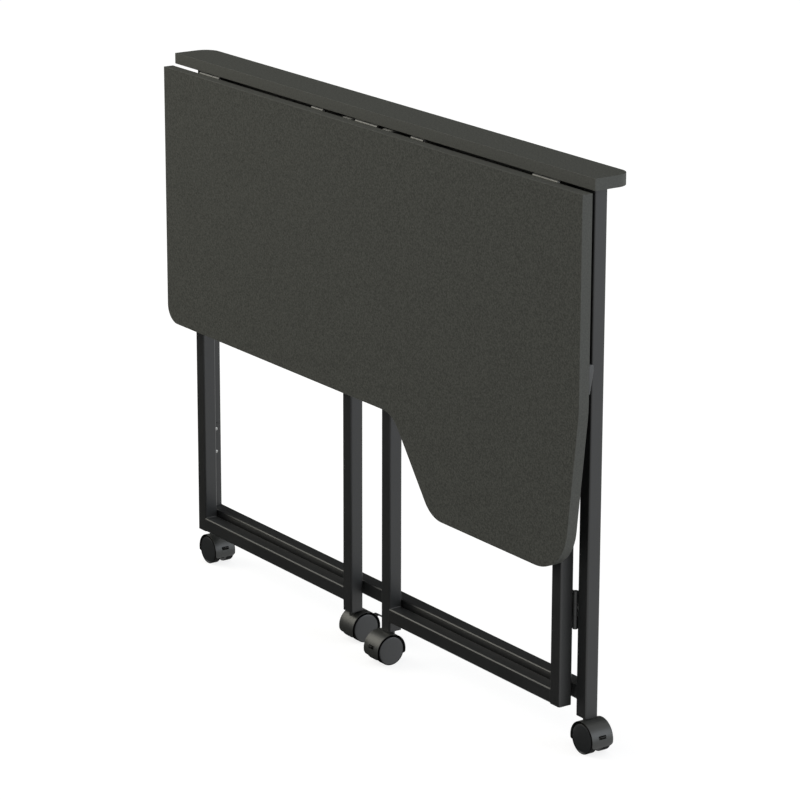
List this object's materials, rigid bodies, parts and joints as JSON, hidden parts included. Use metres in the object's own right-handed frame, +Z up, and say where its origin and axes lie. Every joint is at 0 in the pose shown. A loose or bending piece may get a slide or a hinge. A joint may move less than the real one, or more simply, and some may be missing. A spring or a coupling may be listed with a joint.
{
  "type": "folding corner desk",
  "caption": "Corner desk folded up: a narrow top board on a tube frame, with a large shaped leaf hanging in front of folded gates, all on hooded casters with brakes.",
  "frame": {"origin": "on the floor under the middle of the folded desk", "axes": "+X along the width towards the tongue's end, +Y to the back, +Z up; the leaf hangs at the front"},
  "size_m": [0.9604, 0.0876, 0.744],
  "materials": {
    "laminate_board": "dark grey melamine laminate with a fine pebble grain",
    "edge_band": "satin dark grey edging",
    "powder_coat": "satin black powder coat on steel tube",
    "hinge_steel": "bright zinc plate",
    "screw_steel": "zinc plate",
    "pin_steel": "plain ground steel",
    "hood_plastic": "satin dark grey moulding",
    "wheel_plastic": "satin dark grey moulding",
    "lever_plastic": "matt black moulding",
    "plug_plastic": "matt black moulding",
    "stop_plastic": "matt black moulding"
  },
  "bodies": {
    "frame": {"caster_sockets": "plug_plastic", "caster_stems": "pin_steel", "gate_hinge_gate_plates": "powder_coat", "gate_hinge_gate_screws": "screw_steel", "gate_hinge_pins": "powder_coat", "gate_hinge_post_plates": "powder_coat", "gate_hinge_post_screws": "screw_steel", "gate_left_bottom_rail": "powder_coat", "gate_left_inner_post": "powder_coat", "gate_left_outer_post": "powder_coat", "gate_left_top_rail": "powder_coat", "gate_right_bottom_rail": "powder_coat", "gate_right_inner_post": "powder_coat", "gate_right_outer_post": "powder_coat", "gate_right_top_rail": "powder_coat", "leaf_hinge_board_plates": "hinge_steel", "leaf_hinge_board_screws": "screw_steel", "leaf_hinge_pins": "hinge_steel", "rear_bottom_rail": "powder_coat", "rear_post_left": "powder_coat", "rear_post_right": "powder_coat", "rear_top_rail": "powder_coat", "top_board": "laminate_board", "top_board_edge_band": "edge_band", "top_board_screws": "screw_steel", "tube_end_plugs": "plug_plastic"},
    "leaf": {"drop_leaf": "laminate_board", "drop_leaf_edge_band": "edge_band", "gate_stops": "stop_plastic", "leaf_hinge_leaf_plates": "hinge_steel", "leaf_hinge_leaf_screws": "screw_steel"},
    "rear_left_caster": {"caster_rear_left_hood": "hood_plastic", "caster_rear_left_axle": "pin_steel"},
    "rear_left_wheel_1": {"caster_rear_left_wheel_1": "wheel_plastic"},
    "rear_left_wheel_2": {"caster_rear_left_wheel_2": "wheel_plastic"},
    "rear_left_brake": {"caster_rear_left_brake_lever": "lever_plastic"},
    "rear_right_caster": {"caster_rear_right_hood": "hood_plastic", "caster_rear_right_axle": "pin_steel"},
    "rear_right_wheel_1": {"caster_rear_right_wheel_1": "wheel_plastic"},
    "rear_right_wheel_2": {"caster_rear_right_wheel_2": "wheel_plastic"},
    "rear_right_brake": {"caster_rear_right_brake_lever": "lever_plastic"},
    "gate_left_caster": {"caster_gate_left_hood": "hood_plastic", "caster_gate_left_axle": "pin_steel"},
    "gate_left_wheel_1": {"caster_gate_left_wheel_1": "wheel_plastic"},
    "gate_left_wheel_2": {"caster_gate_left_wheel_2": "wheel_plastic"},
    "gate_left_brake": {"caster_gate_left_brake_lever": "lever_plastic"},
    "gate_right_caster": {"caster_gate_right_hood": "hood_plastic", "caster_gate_right_axle": "pin_steel"},
    "gate_right_wheel_1": {"caster_gate_right_wheel_1": "wheel_plastic"},
    "gate_right_wheel_2": {"caster_gate_right_wheel_2": "wheel_plastic"},
    "gate_right_brake": {"caster_gate_right_brake_lever": "lever_plastic"}
  },
  "joints": [
    {"name": "leaf_lift", "type": "hinge", "parent": "frame", "child": "leaf", "pos_m": [0, -0.0152, 0.7263], "axis": [-1, 0, 0], "range_deg": [0, 90]},
    {"name": "rear_left_swivel", "type": "hinge", "parent": "frame", "child": "rear_left_caster", "pos_m": [-0.444, 0.0158, 0.04], "axis": [0, 0, 1], "continuous": true},
    {"name": "rear_left_wheel_1_spin", "type": "hinge", "parent": "rear_left_caster", "child": "rear_left_wheel_1", "pos_m": [-0.433, 0.0158, 0.02], "axis": [0, 1, 0], "continuous": true},
    {"name": "rear_left_wheel_2_spin", "type": "hinge", "parent": "rear_left_caster", "child": "rear_left_wheel_2", "pos_m": [-0.433, 0.0158, 0.02], "axis": [0, 1, 0], "continuous": true},
    {"name": "rear_left_brake_press", "type": "hinge", "parent": "rear_left_caster", "child": "rear_left_brake", "pos_m": [-0.426, 0.0158, 0.027], "axis": [0, 1, 0], "range_deg": [0, 8]},
    {"name": "rear_right_swivel", "type": "hinge", "parent": "frame", "child": "rear_right_caster", "pos_m": [0.444, 0.0158, 0.04], "axis": [0, 0, 1], "continuous": true},
    {"name": "rear_right_wheel_1_spin", "type": "hinge", "parent": "rear_right_caster", "child": "rear_right_wheel_1", "pos_m": [0.455, 0.0158, 0.02], "axis": [0, 1, 0], "continuous": true},
    {"name": "rear_right_wheel_2_spin", "type": "hinge", "parent": "rear_right_caster", "child": "rear_right_wheel_2", "pos_m": [0.455, 0.0158, 0.02], "axis": [0, 1, 0], "continuous": true},
    {"name": "rear_right_brake_press", "type": "hinge", "parent": "rear_right_caster", "child": "rear_right_brake", "pos_m": [0.462, 0.0158, 0.027], "axis": [0, 1, 0], "range_deg": [0, 8]},
    {"name": "gate_left_swivel", "type": "hinge", "parent": "frame", "child": "gate_left_caster", "pos_m": [-0.046, -0.0074, 0.04], "axis": [0, 0, 1], "continuous": true},
    {"name": "gate_left_wheel_1_spin", "type": "hinge", "parent": "gate_left_caster", "child": "gate_left_wheel_1", "pos_m": [-0.046, 0.0036, 0.02], "axis": [-1, 0, 0], "continuous": true},
    {"name": "gate_left_wheel_2_spin", "type": "hinge", "parent": "gate_left_caster", "child": "gate_left_wheel_2", "pos_m": [-0.046, 0.0036, 0.02], "axis": [-1, 0, 0], "continuous": true},
    {"name": "gate_left_brake_press", "type": "hinge", "parent": "gate_left_caster", "child": "gate_left_brake", "pos_m": [-0.046, 0.0106, 0.027], "axis": [-1, 0, 0], "range_deg": [0, 8]},
    {"name": "gate_right_swivel", "type": "hinge", "parent": "frame", "child": "gate_right_caster", "pos_m": [0.046, -0.0074, 0.04], "axis": [0, 0, 1], "continuous": true},
    {"name": "gate_right_wheel_1_spin", "type": "hinge", "parent": "gate_right_caster", "child": "gate_right_wheel_1", "pos_m": [0.046, -0.0184, 0.02], "axis": [1, 0, 0], "continuous": true},
    {"name": "gate_right_wheel_2_spin", "type": "hinge", "parent": "gate_right_caster", "child": "gate_right_wheel_2", "pos_m": [0.046, -0.0184, 0.02], "axis": [1, 0, 0], "continuous": true},
    {"name": "gate_right_brake_press", "type": "hinge", "parent": "gate_right_caster", "child": "gate_right_brake", "pos_m": [0.046, -0.0254, 0.027], "axis": [1, 0, 0], "range_deg": [0, 8]}
  ]
}
